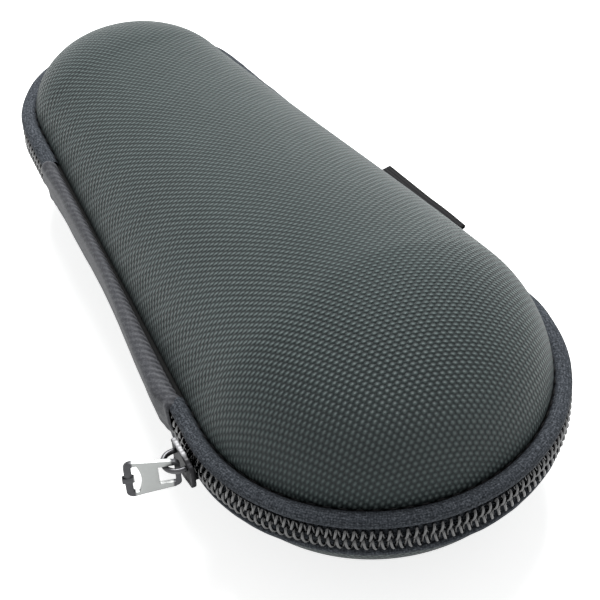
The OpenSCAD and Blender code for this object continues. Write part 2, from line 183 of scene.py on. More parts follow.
# Gives a sheet its thickness: an offset of -1 keeps the grid as the outer face, and 0 as the middle.
def thicken(obj, wall, offset=-1.0):
    mod = obj.modifiers.new("wall", "SOLIDIFY")
    mod.thickness, mod.offset, mod.use_even_offset = wall * mm, offset, False
    return obj


# Materials: each maker returns one, and the looks stand in dictionaries below.
def newMaterial(name):
    mat = bpy.data.materials.new(name)
    mat.use_nodes = True
    tree = mat.node_tree
    return mat, tree, tree.nodes["Principled BSDF"], mathMaker(tree)


# Small builder for shader maths: m("SINE", a) takes sockets or numbers as inputs.
def mathMaker(tree):
    def m(kind, *inputs):
        node = tree.nodes.new("ShaderNodeMath")
        node.operation = kind
        for i, value in enumerate(inputs):
            if isinstance(value, (int, float)):
                node.inputs[i].default_value = value
            else:
                tree.links.new(value, node.inputs[i])
        return node.outputs[0]
    return m


def clamped(m, value):
    return m("MINIMUM", m("MAXIMUM", value, 0.0), 1.0)


# Painted shade in a groove: the tone falls to a tenth at a seam, over a width in millimetres.
def paintedSeamShade(m, tone, edge, width):
    seam = m("MINIMUM", m("DIVIDE", edge, width), 1.0)
    return m("MULTIPLY", tone, m("ADD", m("MULTIPLY", seam, 0.9), 0.1))


def shades(colour, tint):
    return [tuple(c * (1 + side * tint) for c in colour) for side in (-1, 1)]


def clothAxes(tree):
    source = tree.nodes.new("ShaderNodeAttribute")
    source.attribute_name = "cloth"
    vector = source.outputs["Vector"]
    split = tree.nodes.new("ShaderNodeSeparateXYZ")
    tree.links.new(vector, split.inputs[0])
    return *split.outputs[:3], vector


def objectVector(tree):
    return tree.nodes.new("ShaderNodeTexCoord").outputs["Object"]


def ramp(tree, factor, stops):
    node = tree.nodes.new("ShaderNodeValToRGB")
    elements = node.color_ramp.elements
    for k, (place, colour) in enumerate(stops):
        e = elements[k] if k < 2 else elements.new(place)
        e.position, e.color = place, (*colour, 1)
    tree.links.new(factor, node.inputs["Fac"])
    return node.outputs["Color"]


def bump(tree, height, distance, strength):
    node = tree.nodes.new("ShaderNodeBump")
    node.inputs["Strength"].default_value = strength
    node.inputs["Distance"].default_value = distance
    tree.links.new(height, node.inputs["Height"])
    return node.outputs["Normal"]


def noise(tree, vector, scale, detail=2.0, rough=0.5):
    node = tree.nodes.new("ShaderNodeTexNoise")
    node.inputs["Scale"].default_value = scale
    node.inputs["Detail"].default_value = detail
    node.inputs["Roughness"].default_value = rough
    tree.links.new(vector, node.inputs["Vector"])
    return node.outputs["Fac"]


# Colour from the tone through a ramp, and relief from the height, with its depth in millimetres.
def dress(tree, shader, tone, stops, height, depth, strength):
    tree.links.new(ramp(tree, tone, stops), shader.inputs["Base Color"])
    tree.links.new(bump(tree, height, depth * mm, strength), shader.inputs["Normal"])


def finish(shader, rough, specular, sheen=0.0, metal=0.0):
    shader.inputs["Roughness"].default_value = rough
    shader.inputs["Specular IOR Level"].default_value = specular
    shader.inputs["Sheen Weight"].default_value = sheen
    shader.inputs["Sheen Roughness"].default_value = 0.5
    shader.inputs["Metallic"].default_value = metal


# Folds of the dome's cloth along the hinge: their pitch and lean, how fast they fade from the seam, and
# where they begin, off the ridge and along the case. They are bumps, and painted light and shade in the
# colour.
folds = {"pitch": 2.15, "lean": 0.8, "fade": 8.0, "flank": 25.0, "endAt": 62.0, "endOver": 15.0}


# Basket weave: floats stand in a staggered net, as sin(a) times sin(b) along axes turned by an angle,
# with a second wave across the rows. The colour follows that height: partly the weave's own lighter floats,
# partly painted highlight on the floats and painted shade in the pits. Painted shade darkens the seam's side
# over a few millimetres (third cloth value), and along the hinge side it has ribs, a sine along the case
# that fades from the seam as exp(-d/fade), bumped and painted as light and shade, over a painted shade
# that deepens towards the seam.
def weaveMaterial(name, look):
    mat, tree, shader, m = newMaterial(name)
    u, v, edge, vector = clothAxes(tree)
    wobble = m("MULTIPLY", m("SUBTRACT", noise(tree, vector, 0.12, 1.0), 0.5), look["pitch"] * 0.14)
    turn = math.radians(look["turn"])
    k = 2 * math.pi / look["pitch"]
    along = m("ADD", m("MULTIPLY", u, math.cos(turn)), m("MULTIPLY", v, math.sin(turn)))
    across = m("SUBTRACT", m("MULTIPLY", v, math.cos(turn)), m("MULTIPLY", u, math.sin(turn)))
    a = m("MULTIPLY", m("ADD", along, wobble), k)
    b = m("MULTIPLY", m("ADD", across, wobble), k)
    stagger = m("MULTIPLY", m("MULTIPLY", m("SINE", a), m("SINE", b)), look["dots"])
    rows = m("MULTIPLY", m("COSINE", m("MULTIPLY", b, 2.0)), -look["rows"])
    height = m("ADD", m("ADD", stagger, rows), 0.5)
    grain = noise(tree, vector, look["grainScale"], 3.0, 0.65)
    patch = noise(tree, vector, 0.05, 2.0)
    # Painted light: the tone follows the weave's height, lighter on the floats and darker in the pits.
    tone = m("ADD", height, m("MULTIPLY", m("SUBTRACT", grain, 0.5), look["grain"]))
    tone = m("ADD", tone, m("MULTIPLY", m("SUBTRACT", patch, 0.5), 0.12))
    alongCase = m("DIVIDE", m("ADD", v, folds["endAt"]), folds["endOver"])
    hingeSide = m("MINIMUM", m("DIVIDE", u, -folds["flank"]), alongCase)
    near = m("MULTIPLY", m("EXPONENT", m("DIVIDE", edge, -folds["fade"])), clamped(m, hingeSide))
    leaning = m("SUBTRACT", v, m("MULTIPLY", edge, folds["lean"]))
    ribs = m("SINE", m("MULTIPLY", leaning, 2 * math.pi / folds["pitch"]))
    gathers = m("MULTIPLY", m("MULTIPLY", ribs, near), look["ribs"])
    # Painted light and shade of the folds: the ribs go into the tone, and a painted shade darkens it near the
    # hinge seam.
    tone = m("ADD", tone, m("SUBTRACT", gathers, m("MULTIPLY", near, look["ribs"] * 0.15)))
    # Painted shade at the groove, up from the cover's foot.
    tone = paintedSeamShade(m, tone, edge, look["seam"])
    relief = m("ADD", m("ADD", height, m("MULTIPLY", grain, look["grain"])), gathers)
    dress(tree, shader, tone, look["stops"], relief, look["depth"], look["strength"])
    finish(shader, look["rough"], look["specular"])
    return mat


# Plain surface in object coordinates with a fine grain.
def grainMaterial(name, colour, rough, specular=0.2, grainScale=900.0, depth=0.05, tint=0.15, strength=0.4):
    mat, tree, shader, _ = newMaterial(name)
    grain = noise(tree, objectVector(tree), grainScale, 3.0)
    low, high = shades(colour, tint)
    dress(tree, shader, grain, [(0.3, low), (0.7, high)], grain, depth, strength)
    finish(shader, rough, specular)
    return mat


# Ribbed cloth: fine ribs run across the second cloth axis, with a thread count along the first.
def ribMaterial(name, colour, rib, depth, rough=0.8, tint=0.35):
    mat, tree, shader, m = newMaterial(name)
    u, v, _, vector = clothAxes(tree)
    ribs = m("MULTIPLY", m("ADD", m("SINE", m("MULTIPLY", v, 2 * math.pi / rib)), 1.0), 0.5)
    threads = m("MULTIPLY", m("ADD", m("SINE", m("MULTIPLY", u, 2 * math.pi / (rib * 0.45))), 1.0), 0.25)
    grain = noise(tree, vector, 2.5, 3.0, 0.6)
    height = m("ADD", m("ADD", ribs, threads), m("MULTIPLY", grain, 0.6))
    low, high = shades(colour, tint)
    tone = m("MULTIPLY", height, 0.5)
    dress(tree, shader, tone, [(0.2, low), (0.85, high)], height, depth, 0.7)
    finish(shader, rough, 0.15, 0.1)
    return mat


# Cloth gathered along its seam: leaning ribs, a sine along the seam, that fade with the distance from it
# as exp(-d/reach). They are bumps and also painted light and shade of the folds, and painted shade darkens
# both seams.
def puckerMaterial(name, look):
    mat, tree, shader, m = newMaterial(name)
    u, _, edge, vector = clothAxes(tree)
    fade = m("EXPONENT", m("DIVIDE", edge, -look["reach"]))
    waver = noise(tree, vector, 0.4, 1.0)
    place = m("ADD", m("ADD", u, m("MULTIPLY", edge, look["lean"])), waver)
    wave = m("SINE", m("MULTIPLY", place, 2 * math.pi / look["rib"]))
    ribs = m("MULTIPLY", wave, m("MULTIPLY", fade, 0.65))
    grain = noise(tree, vector, 1.6, 3.0, 0.65)
    height = m("ADD", m("ADD", ribs, 0.5), m("MULTIPLY", m("SUBTRACT", grain, 0.5), look["grain"]))
    # Painted shade: the tone, with the ribs painted in, falls towards the seams.
    tone = paintedSeamShade(m, height, edge, look["seam"])
    dress(tree, shader, tone, look["stops"], height, look["depth"], 0.8)
    finish(shader, 0.6, 0.14, 0.06)
    return mat


# Cast metal with painted light: lit between two places along the first cloth axis, and painted shade on
# either side of them.
def metalMaterial(name, dark, light, rough, litFrom, litTo, blur):
    mat, tree, shader, m = newMaterial(name)
    u = clothAxes(tree)[0]
    grain = noise(tree, objectVector(tree), 900, 3.0)
    rise = m("DIVIDE", m("SUBTRACT", u, litFrom), blur)
    fall = m("DIVIDE", m("SUBTRACT", litTo, u), blur)
    paintedLit = clamped(m, m("MINIMUM", rise, fall))
    tone = m("ADD", m("MULTIPLY", paintedLit, 0.9), m("MULTIPLY", grain, 0.1))
    dress(tree, shader, tone, [(0.0, dark), (1.0, light)], grain, 0.02, 0.25)
    finish(shader, rough, 0.5, 0.0, 1.0)
    return mat


# In these looks, seam is the width of a painted shade at the groove. The nylon's and the strip's stops, taken
# along the height, paint the floats and rib tops lighter and the hollows darker; the nylon's ribs set its
# hinge folds, bumped and painted.
nylonLook = {
    "pitch": 1.81, "turn": -13.0, "dots": 0.38, "rows": 0.16, "grain": 0.25, "grainScale": 2.6,
    "seam": 1.3, "ribs": 0.8, "depth": 0.62, "strength": 1.0, "rough": 0.5, "specular": 0.2,
    "stops": [(0.15, (0.010, 0.0135, 0.014)), (0.48, (0.045, 0.059, 0.060)), (0.90, (0.118, 0.150, 0.147))],
}
bandLook = {
    "pitch": 0.9, "turn": 45.0, "dots": 0.08, "rows": 0.0, "grain": 1.5, "grainScale": 1.5,
    "seam": 1.6, "ribs": 0.0, "depth": 0.16, "strength": 0.8, "rough": 0.75, "specular": 0.12,
    "stops": [(0.15, (0.009, 0.011, 0.0135)), (0.5, (0.042, 0.048, 0.057)), (0.90, (0.150, 0.164, 0.186))],
}
stripLook = {
    "rib": 2.15, "lean": 0.9, "reach": 2.6, "grain": 0.8, "seam": 1.6, "depth": 0.22,
    "stops": [(0.10, (0.010, 0.010, 0.012)), (0.5, (0.064, 0.066, 0.074)), (0.95, (0.165, 0.168, 0.178))],
}
materials = {
    "nylon": weaveMaterial("nylonDome", nylonLook),
    "band": weaveMaterial("wovenBand", bandLook),
    "strip": puckerMaterial("hingeCloth", stripLook),
    "tab": ribMaterial("tabCloth", (0.010, 0.010, 0.011), 0.9, 0.12),
    "coil": grainMaterial("coilPlastic", (0.014, 0.015, 0.017), 0.2, specular=1.0, depth=0.01, strength=0.1),
    # Painted light and shade on the metals: the slider's top lip lit and the rest of its plate shaded, the
    # crown lighter outwards from the slider, and the pull shaded at its near bar and its far end.
    "slider": metalMaterial("sliderMetal", (0.016, 0.016, 0.018), (0.34, 0.34, 0.35), 0.6, 3.7, 9.0, 0.3),
    "crown": metalMaterial("crownMetal", (0.035, 0.035, 0.038), (0.10, 0.10, 0.105), 0.38, 1.0, 9.0, 4.0),
    "pull": metalMaterial("pullMetal", (0.05, 0.05, 0.055), (0.35, 0.36, 0.355), 0.5, 1.1, 10.4, 0.4),
    "foam": grainMaterial("foamMoulded", (0.03, 0.03, 0.03), 0.9, grainScale=700, depth=0.2),
    "lining": grainMaterial("liningKnit", (0.030, 0.030, 0.034), 0.95, 0.05, 1100, 0.3, 0.45, 0.8),
    "binding": ribMaterial("bindingTape", (0.022, 0.022, 0.025), 0.7, 0.10),
    "elastic": ribMaterial("elasticBand", (0.024, 0.024, 0.026), 1.3, 0.25),
    "net": grainMaterial("netThread", (0.018, 0.018, 0.019), 0.8, grainScale=1800, depth=0.1),
    "thread": grainMaterial("seamThread", (0.010, 0.010, 0.011), 0.6, grainScale=1800, depth=0.05),
}


def paint(obj, key):
    obj.data.materials.clear()
    obj.data.materials.append(materials[key])
    return obj


# Domes: a cover's foot draws in by the tuck at the groove, over the first rise of a dome about tall high.
# On the hinge side, from and to are where that ends and starts again, counted as in ringAt.
lidDome = {"riseWide": 36.5, "riseNarrow": 18.0, "power": 1.9, "powerNarrow": 2.15, "flat": 200.0}
baseDome = {"riseWide": 23.4, "riseNarrow": 23.4, "power": 2.1, "powerNarrow": 2.1, "flat": 28.0}
groove = {"tuck": 0.55, "hinge": -1.0, "rise": 2.6, "tall": 30.0, "from": (3.9, 4.2), "to": (4.85, 5.15)}
shell = {"skin": 0.7, "foot": 0.9, "behind": 0.9, "flangeIn": 3.4, "flangeFace": 4.4}


# One closed ring of the outline with its own two radii: v runs 0 to 6 from the wide tip up the right side
# to the narrow tip and back down the left side.
def ringAt(wide, narrow, v):
    left = v > 3
    h = np.where(left, 6 - v, v)
    a = np.arcsin((wide - narrow) / span)
    square = math.pi / 2
    beyond = np.where(h < 2, a, a + (square - a) * (h - 2))
    t = np.where(h < 1, -square + (square + a) * h, beyond)
    u = np.clip(h - 1, 0, 1)
    radius = wide + (narrow - wide) * u
    x = radius * np.cos(t)
    y = wideY + span * u + radius * np.sin(t)
    side = np.where(left, -1.0, 1.0)
    ridge = np.stack([np.zeros_like(u), wideY + span * u], -1)
    return np.stack([x * side, y], -1), ridge, np.stack([np.cos(t) * side, np.sin(t)], -1)


# Height of the dome's top above its flange along the case: six tenths a straight slope, the rest an S.
def riseAt(y, dome):
    u = np.clip((y - wideY) / span, 0, 1)
    e = u * (0.6 + 0.4 * u * (3 - 2 * u))
    return dome["riseWide"] + (dome["riseNarrow"] - dome["riseWide"]) * e


# Rings of a moulded dome: they shrink as cos(phi)^(2/p) while the height grows as sin(phi)^(2/p), with p
# going from its wide to its narrow value. A cover's foot tucks in towards the groove, except at the hinge.
def domeRings(dome, inset, foot, arounds, ups, tuck=0.0):
    v = np.linspace(0, 6, arounds, endpoint=False)
    phi = np.linspace(0, math.pi / 2, ups)[:, None]
    cosine, sine = np.cos(phi).clip(0), np.sin(phi)
    low = tuck * (1 - np.clip(sine ** (2 / dome["power"]) * groove["tall"] / groove["rise"], 0, 1)) ** 2
    wide = (rim["wide"] - inset) * cosine ** (2 / dome["power"]) - low
    narrow = (rim["narrow"] - inset) * cosine ** (2 / dome["powerNarrow"]) - low
    xy, ridge, out = ringAt(np.maximum(wide, 0), np.maximum(narrow, 0), v[None, :])
    u = np.clip((xy[..., 1] - wideY) / span, 0, 1)
    t = sine ** (2 / (dome["power"] + (dome["powerNarrow"] - dome["power"]) * u))
    hingeSide = smooth(v, *groove["from"]) * (1 - smooth(v, *groove["to"]))
    xy = xy - out * (low * groove["hinge"] * hingeSide[None, :])[..., None]
    drop = inset - rim["band"]
    top = rim["flangeTop"] + riseAt(xy[..., 1], dome) - drop
    z = np.minimum(foot + (top - foot) * t, dome["flat"] - drop)
    return np.concatenate([xy, z[..., None]], -1), ridge, out


# The cloth's own coordinates on a dome: out from the ridge by half its flat and half its real reach,
# and the distance up from the foot as the third value.
def domeCloth(points, ridge, out):
    step = np.linalg.norm(np.diff(points, axis=0), axis=-1)
    up = np.concatenate([np.zeros((1, step.shape[1])), np.cumsum(step, 0)], 0)
    reach = up[-1:] - up
    flat = np.linalg.norm(points[..., :2] - ridge, axis=-1)
    cloth = ridge + out * (0.5 * reach + 0.5 * flat)[..., None]
    return np.concatenate([cloth, up[..., None]], -1)


def placed(points, side):
    points = points.copy()
    points[..., 2] = rim["zipHeight"] + side * points[..., 2]
    return points


def domeSkin(name, body, side, rings, flip):
    cloth = domeCloth(*rings)
    points = placed(rings[0], side)
    obj = meshFromGrid(name, points, body, closeCols=True, cloth=cloth, flip=flip, weld=True)
    return thicken(obj, shell["skin"])


def domeCover(name, body, dome, side, arounds, ups):
    foot = rim["flangeTop"] - shell["foot"]
    rings = domeRings(dome, rim["band"], foot, arounds, ups, groove["tuck"])
    return paint(domeSkin(name, body, side, rings, side < 0), "nylon")


def domeLining(name, body, dome, side, arounds, ups):
    rings = domeRings(dome, rim["liningIn"], rim["flangeLow"], arounds, ups)
    return paint(domeSkin(name, body, side, rings, side > 0), "lining")


# Foam shell between cover and lining, with a flange that stays behind the rim band.
def domeFoam(name, body, dome, side, arounds, ups):
    foot = rim["flangeTop"] - shell["foot"]
    outer = domeRings(dome, rim["coverIn"] + shell["behind"], foot, arounds, ups)[0]
    inner = domeRings(dome, rim["foamIn"], rim["flangeLow"] + 0.1, arounds, ups)[0]
    v = np.linspace(0, 6, arounds, endpoint=False)
    flange = ringAt(rim["wide"] - shell["flangeIn"], rim["narrow"] - shell["flangeIn"], v)[0]
    rows = [spread(flange[:, 0], flange[:, 1], z)[None] for z in (foot, shell["flangeFace"])]
    points = np.concatenate([outer[::-1], *rows, inner], 0)
    obj = meshFromGrid(name, placed(points, side), body, closeCols=True, flip=side > 0, weld=True)
    return paint(obj, "foam")


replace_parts(domeCover("lidCover", "lid", lidDome, 1, 420, 84), "upper_cover")
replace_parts(domeCover("lowerCover", "lower_case", baseDome, -1, 300, 48), "lower_cover")
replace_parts(domeLining("lidLining", "lid", lidDome, 1, 240, 40), "upper_lining")
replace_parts(domeLining("lowerLining", "lower_case", baseDome, -1, 240, 36), "lower_lining")
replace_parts(domeFoam("lidFoam", "lid", lidDome, 1, 120, 20), "upper_shell")
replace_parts(domeFoam("lowerFoam", "lower_case", baseDome, -1, 120, 20), "lower_shell")
print("domes made")


# Rim bands: the zip's tape, wrapped over each flange.
def arcPoints(centre, radii, start, stop, count):
    a = np.radians(np.linspace(start, stop, count))
    return np.stack([centre[0] - radii[0] * np.cos(a), centre[1] + radii[1] * np.sin(a)], -1)


# The bands' profiles: the lid's is full, and the lower one stands back and is flatter.
lidProfile = {"middle": (2.2, 5.05), "top": (2.2, 1.65), "under": (1.5, 1.25)}
lowerProfile = {"middle": (3.0, 4.75), "top": (2.2, 1.7), "under": (1.2, 0.8)}


# From the groove over the rounded outside, in under the band, and round the tape behind the coil.
def bandProfile(form):
    x, y = form["middle"]
    front = x - form["top"][0]
    return np.concatenate([
        [[4.7, 4.3], [4.4, 5.0], [4.05, 5.7]],
        arcPoints((x, y), form["top"], 130, 0, 13),
        arcPoints((front + form["under"][0], y - 0.1), form["under"], -5, -80, 7),
        [[1.9, 3.4], [2.2, 3.25], [2.2, 0.25], [2.35, 0.12], [2.9, 0.12], [3.1, 0.3], [3.1, 3.5]],
    ])


def profileLengths(profile):
    return np.concatenate([[0], np.cumsum(np.linalg.norm(np.diff(profile, axis=0), axis=1))])


# A band is its profile carried along the rim, with slow small swells on its outside.
def rimBand(name, body, side, form, seed):
    profile = bandProfile(form)
    s = np.linspace(zipStart - 0.3, zipEnd + 0.3, 620)
    across = profileLengths(profile)
    soft = np.clip(1 - np.abs(across - 6) / 6, 0, 1)
    swell = wander(s, 9, 0.10, seed) + wander(s, 3.1, 0.05, seed + 1)
    inset = profile[None, :, 0] - swell[:, None] * soft[None, :]
    up = profile[None, :, 1] + 0.6 * swell[:, None] * soft[None, :]
    points = rimPoints(s[:, None], inset, side * up)
    cloth = spread(s[:, None], across[None, :], across[None, :] + 0.1)
    return paint(meshFromGrid(name, points, body, cloth=cloth, flip=side > 0), "band")


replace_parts(rimBand("lidBand", "lid", 1, lidProfile, 11), "upper_tape")
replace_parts(rimBand("lowerBand", "lower_case", -1, lowerProfile, 21), "lower_tape")
print("rim bands made")

# Coil rows: a long helix for each half of the zip, its inset a cosine and its height a sine of the turn.
coil = {
    "pitch": 2.0, "wire": 0.38, "low": -0.05, "high": 2.85, "front": 0.22, "back": 1.7, "lean": 0.25,
    "steps": 16, "sides": 8, "endGap": 0.5,
}


# A wire tube round a centreline; guide is a direction that never runs along the wire, and radius may change
# along it, so that a last radius near zero closes the end.
def tube(centre, guide, radius, sides, flat=1.0):
    along = np.gradient(centre, axis=0)
    along /= np.linalg.norm(along, axis=1)[:, None]
    n = guide - (guide * along).sum(1)[:, None] * along
    n /= np.linalg.norm(n, axis=1)[:, None]
    b = np.cross(along, n)
    a = np.linspace(0, 2 * math.pi, sides, endpoint=False)[None, :, None]
    radius = np.broadcast_to(radius, len(centre))[:, None, None]
    return centre[:, None] + radius * (np.cos(a) * n[:, None] * flat + np.sin(a) * b[:, None])


# A radius for each point of a wire, near zero at both ends so that the tube closes there.
def closedRadius(count, radius):
    radii = np.full(count, float(radius))
    radii[[0, -1]] = 0.001
    return radii


def coilRow(name, body, side, shift):
    length = zipEnd - zipStart - 2 * coil["endGap"]
    loops = int(length / coil["pitch"])
    tau = np.linspace(0, 2 * math.pi * loops, loops * coil["steps"])
    s = zipStart + coil["endGap"] + coil["pitch"] * (tau / (2 * math.pi) + shift)
    front, back = coil["front"], coil["back"]
    inset = (front + back) / 2 - (back - front) / 2 * np.cos(tau)
    up = (coil["low"] + coil["high"]) / 2 + (coil["high"] - coil["low"]) / 2 * np.sin(tau)
    s = s + side * coil["lean"] * np.cos(tau)
    centre = rimPoints(s, inset, side * up)
    n = pathAt(s)[1]
    guide = np.stack([-n[:, 1], n[:, 0], np.zeros(len(n))], -1)
    wire = tube(centre, guide, closedRadius(len(centre), coil["wire"]), coil["sides"])
    obj = meshFromGrid(name, wire, body, closeCols=True, weld=True)
    return paint(obj, "coil")


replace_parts(coilRow("lidCoil", "lid", 1, 0.0), "upper_coil")
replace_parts(coilRow("lowerCoil", "lower_case", -1, 0.5), "lower_coil")
print("coils made")

# Hinge cloth: an outer strip and an inner liner, each one piece that bends between the two halves.
hinge = {
    "pinch": 0.75, "flare": 2.0, "under": 0.9, "proud": 0.1, "lap": 1.4, "wall": 0.5, "liner": 7.6,
    "pucker": 0.3, "gather": 0.13, "gatherPitch": 2.13,
}
hingeStart, hingeStop = around - rim["stripNear"], zipEnd


# The strip is drawn in between its sewn ends, as half a sine, and flares out again towards the wide end.
def drawnIn(s):
    u = np.clip((s - hingeStop) / (hingeStart - hingeStop), 0, 1)
    flare = hinge["flare"] * smooth(u, 0.4, 0.9) * (1 - 0.75 * smooth(u, 0.93, 1.0))
    return hinge["pinch"] * np.sin(math.pi * u) ** 0.8 - flare


# From the groove over the lid's band, down the outside, and the same turned over for the lower case.
def hingeProfile():
    half = np.concatenate([
        [[4.75, 3.9], [4.2, 4.1], [3.7, 4.35], [3.37, 4.7]],
        arcPoints((1.6, 4.5), (1.8, 2.1), 165, 0, 20),
        [[-0.2, 4.0], [-0.18, 3.2], [-0.12, 2.2], [-0.05, 1.1], [-0.02, 0.3]],
    ])
    lower = half[::-1] * [1, -1]
    lower[:, 0] += hinge["under"] * smooth(-lower[:, 1], -0.5, 4) * np.clip((4.2 - lower[:, 0]) / 2.5, 0, 1)
    return np.concatenate([half, lower])


# Puckers gather at the strip's two ends, fine ribs run along both seams, and the rest ripples a little.
def hingeStrip():
    profile = hingeProfile()
    start, stop = hingeStart + hinge["lap"], hingeStop - hinge["lap"]
    s = np.linspace(stop, start, 420)
    across = profileLengths(profile)
    edge = np.minimum(across, across[-1] - across)
    out = np.clip(1 - profile[:, 0] / rim["band"], 0, 1.1)
    near = np.minimum(s - stop, start - s)
    ends = np.exp(-(near / 5.0) ** 2)
    fan = np.exp(-((edge - 3.5) / 3.0) ** 2)
    crease = hinge["pucker"] * np.cos(near[:, None] * 2.1 + edge[None, :] * 0.5)
    pucker = ends[:, None] * fan[None, :] * (crease + 0.1)
    seamward = np.exp(-((edge - 2.2) / 1.6) ** 2)
    ribs = hinge["gather"] * np.sin(s[:, None] * 2 * math.pi / hinge["gatherPitch"] + edge[None, :])
    gathers = ribs * seamward[None, :]
    ripple = wander(s, 7, 0.10, 31)[:, None] * out[None, :]
    hem = -hinge["wall"] * (1 - smooth(near, 0.0, 0.45))
    lift = hinge["proud"] * ends[:, None] * np.clip(edge / 2.0, 0, 1)[None, :]
    normal = np.gradient(profile, axis=0)
    normal = np.stack([normal[:, 1], -normal[:, 0]], -1) / np.linalg.norm(normal, axis=1)[:, None]
    push = pucker + gathers + ripple + lift + hem[:, None]
    inset = profile[None, :, 0] + drawnIn(s)[:, None] * out[None, :] + push * normal[None, :, 0]
    up = profile[None, :, 1] + push * normal[None, :, 1]
    points = rimPoints(s[:, None], inset, up)
    cloth = spread(s[:, None], across[None, :], edge[None, :] + 0.1)
    return paint(meshFromGrid("hingeStrip", points, None, cloth=cloth), "strip")


strip = hingeStrip()
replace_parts(strip, "hinge_strip_lower", "hinge_strip_upper")
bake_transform(strip)


# Lining of the hinge: one strip of cloth from the lid's binding round the hinge to the lower one.
def hingeLiner():
    half = np.array([
        [hinge["liner"], 3.1], [5.5, 3.15], [3.2, 3.15], [1.8, 3.1],
        [1.15, 2.7], [0.95, 2.1], [0.9, 1.2], [0.88, 0.4],
    ])
    profile = np.concatenate([half, half[::-1] * [1, -1]])
    s = np.linspace(hingeStop + 0.3, hingeStart - 0.3, 160)
    out = np.clip(1 - profile[:, 0] / hinge["liner"], 0, 1)
    wave = wander(s, 5, 0.08, 41)[:, None] * out[None, :]
    inset = profile[None, :, 0] + drawnIn(s)[:, None] * out[None, :] + wave
    points = rimPoints(s[:, None], inset, profile[None, :, 1] + 0 * s[:, None])
    cloth = spread(s[:, None], profileLengths(profile)[None, :])
    obj = meshFromGrid("hingeLiner", points, None, cloth=cloth, flip=True)
    return paint(obj, "binding")


liner = hingeLiner()
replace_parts(liner, "hinge_liner_lower", "hinge_liner_upper")
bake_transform(liner)
print("hinge cloth made")


# Edge binding: over the rim's face and up inside the lining, rounded at the corner.
def edgeBinding(name, body, side, seed):
    profile = np.array([
        [3.15, 4.2], [3.15, 3.7], [3.35, 3.45], [5.0, 3.4], [7.0, 3.42], [9.2, 3.45], [9.9, 3.7],
        [10.15, 4.3], [10.25, 5.2], [10.3, 6.2], [10.1, 6.5], [9.75, 6.5], [9.5, 6.1],
    ])
    s = np.linspace(0, around, 460, endpoint=False)
    across = profileLengths(profile)
    soft = np.sin(math.pi * across / across[-1])
    wave = (wander(s, 4, 0.06, seed) * np.sin(math.pi * np.arange(len(s)) / len(s)))[:, None] * soft[None, :]
    points = rimPoints(s[:, None], profile[None, :, 0], side * (profile[None, :, 1] - wave))
    cloth = spread(s[:, None], across[None, :])
    band = meshFromGrid(name, points, body, closeRows=True, cloth=cloth, flip=side > 0)
    return paint(band, "binding")


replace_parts(edgeBinding("lidBinding", "lid", 1, 51), "upper_binding")
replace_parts(edgeBinding("lowerBinding", "lower_case", -1, 52), "lower_binding")

stitch = {"length": 2.6, "pitch": 4.0, "thread": 0.17, "inset": 4.12, "up": 6.15, "dip": 0.35}
upright = np.array([0, 0, 1.0])


# A row of stitches down in the groove, each a short thread that dips into the cloth at both ends.
def stitchRow(name, body, side):
    count = int((zipEnd - zipStart) / stitch["pitch"])
    middle = zipStart + (np.arange(count) + 0.5) * (zipEnd - zipStart) / count
    t = np.linspace(-1, 1, 7)
    s = middle[:, None] + t[None, :] * stitch["length"] / 2
    up = stitch["up"] - stitch["dip"] * t[None, :] ** 4 + 0 * s
    centre = rimPoints(s, stitch["inset"], side * up)
    a = np.linspace(0, 2 * math.pi, 6, endpoint=False)
    n = pathAt(s)[1]
    across = np.concatenate([n, np.zeros(s.shape + (1,))], -1)
    radius = (stitch["thread"] * np.sqrt(1.0001 - t ** 6))[None, :, None, None]
    ring = np.cos(a)[:, None] * across[:, :, None] + np.sin(a)[:, None] * upright
    return paint(meshFromCopies(name, centre[:, :, None] + radius * ring, body), "thread")


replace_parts(stitchRow("lidStitches", "lid", 1), "upper_seam_thread")
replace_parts(stitchRow("lowerStitches", "lower_case", -1), "lower_seam_thread")
print("binding and stitches made")

# Side tab on the far flank.
tab = {"start": 25.0, "width": 30.6, "root": 3.5, "reach": 2.6, "fold": 0.45, "ply": 0.42}


# Cloth tape folded in two: out over the band, round the fold and back under, as one sheet.
def sideTab():
    low, fold = rim["bandTop"] + tab["ply"] / 2 + 0.03, tab["fold"]
    centre = (tab["fold"] + tab["ply"] / 2 - tab["reach"], low + fold)
    profile = np.concatenate([
        [[tab["root"], low + 2 * fold - 0.1], [1.8, low + 2 * fold + 0.04], [0.0, low + 2 * fold]],
        arcPoints(centre, (fold, fold), 90, -90, 9),
        [[0.0, low], [1.8, low + 0.04], [tab["root"], low]],
    ])
    d = np.linspace(tab["start"], tab["start"] + tab["width"], 90)
    across = profileLengths(profile)
    sway = wander(d, 8, 0.12, 61)[:, None] * smooth(-profile[:, 0], -1.5, 1.5)[None, :]
    points = rimPoints(wideArc + d[:, None], profile[None, :, 0] + sway, profile[None, :, 1] + 0 * d[:, None])
    cloth = spread(d[:, None], across[None, :])
    obj = thicken(meshFromGrid("sideTab", points, "lid", cloth=cloth), tab["ply"], 0.0)
    return paint(obj, "tab")


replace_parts(sideTab(), "side_tab")
print("side tab made")

# Inside the case: a strap in the lower half and a net pocket in the lid.
strap = {"place": 28.0, "width": 25.0, "wall": 1.0}


# Half width of the space inside a rim inset at a place along the case, on the flanks.
def innerHalf(inset, y):
    return ((rim["wide"] - inset) - (y - wideY) * math.sin(taper)) / math.cos(taper)


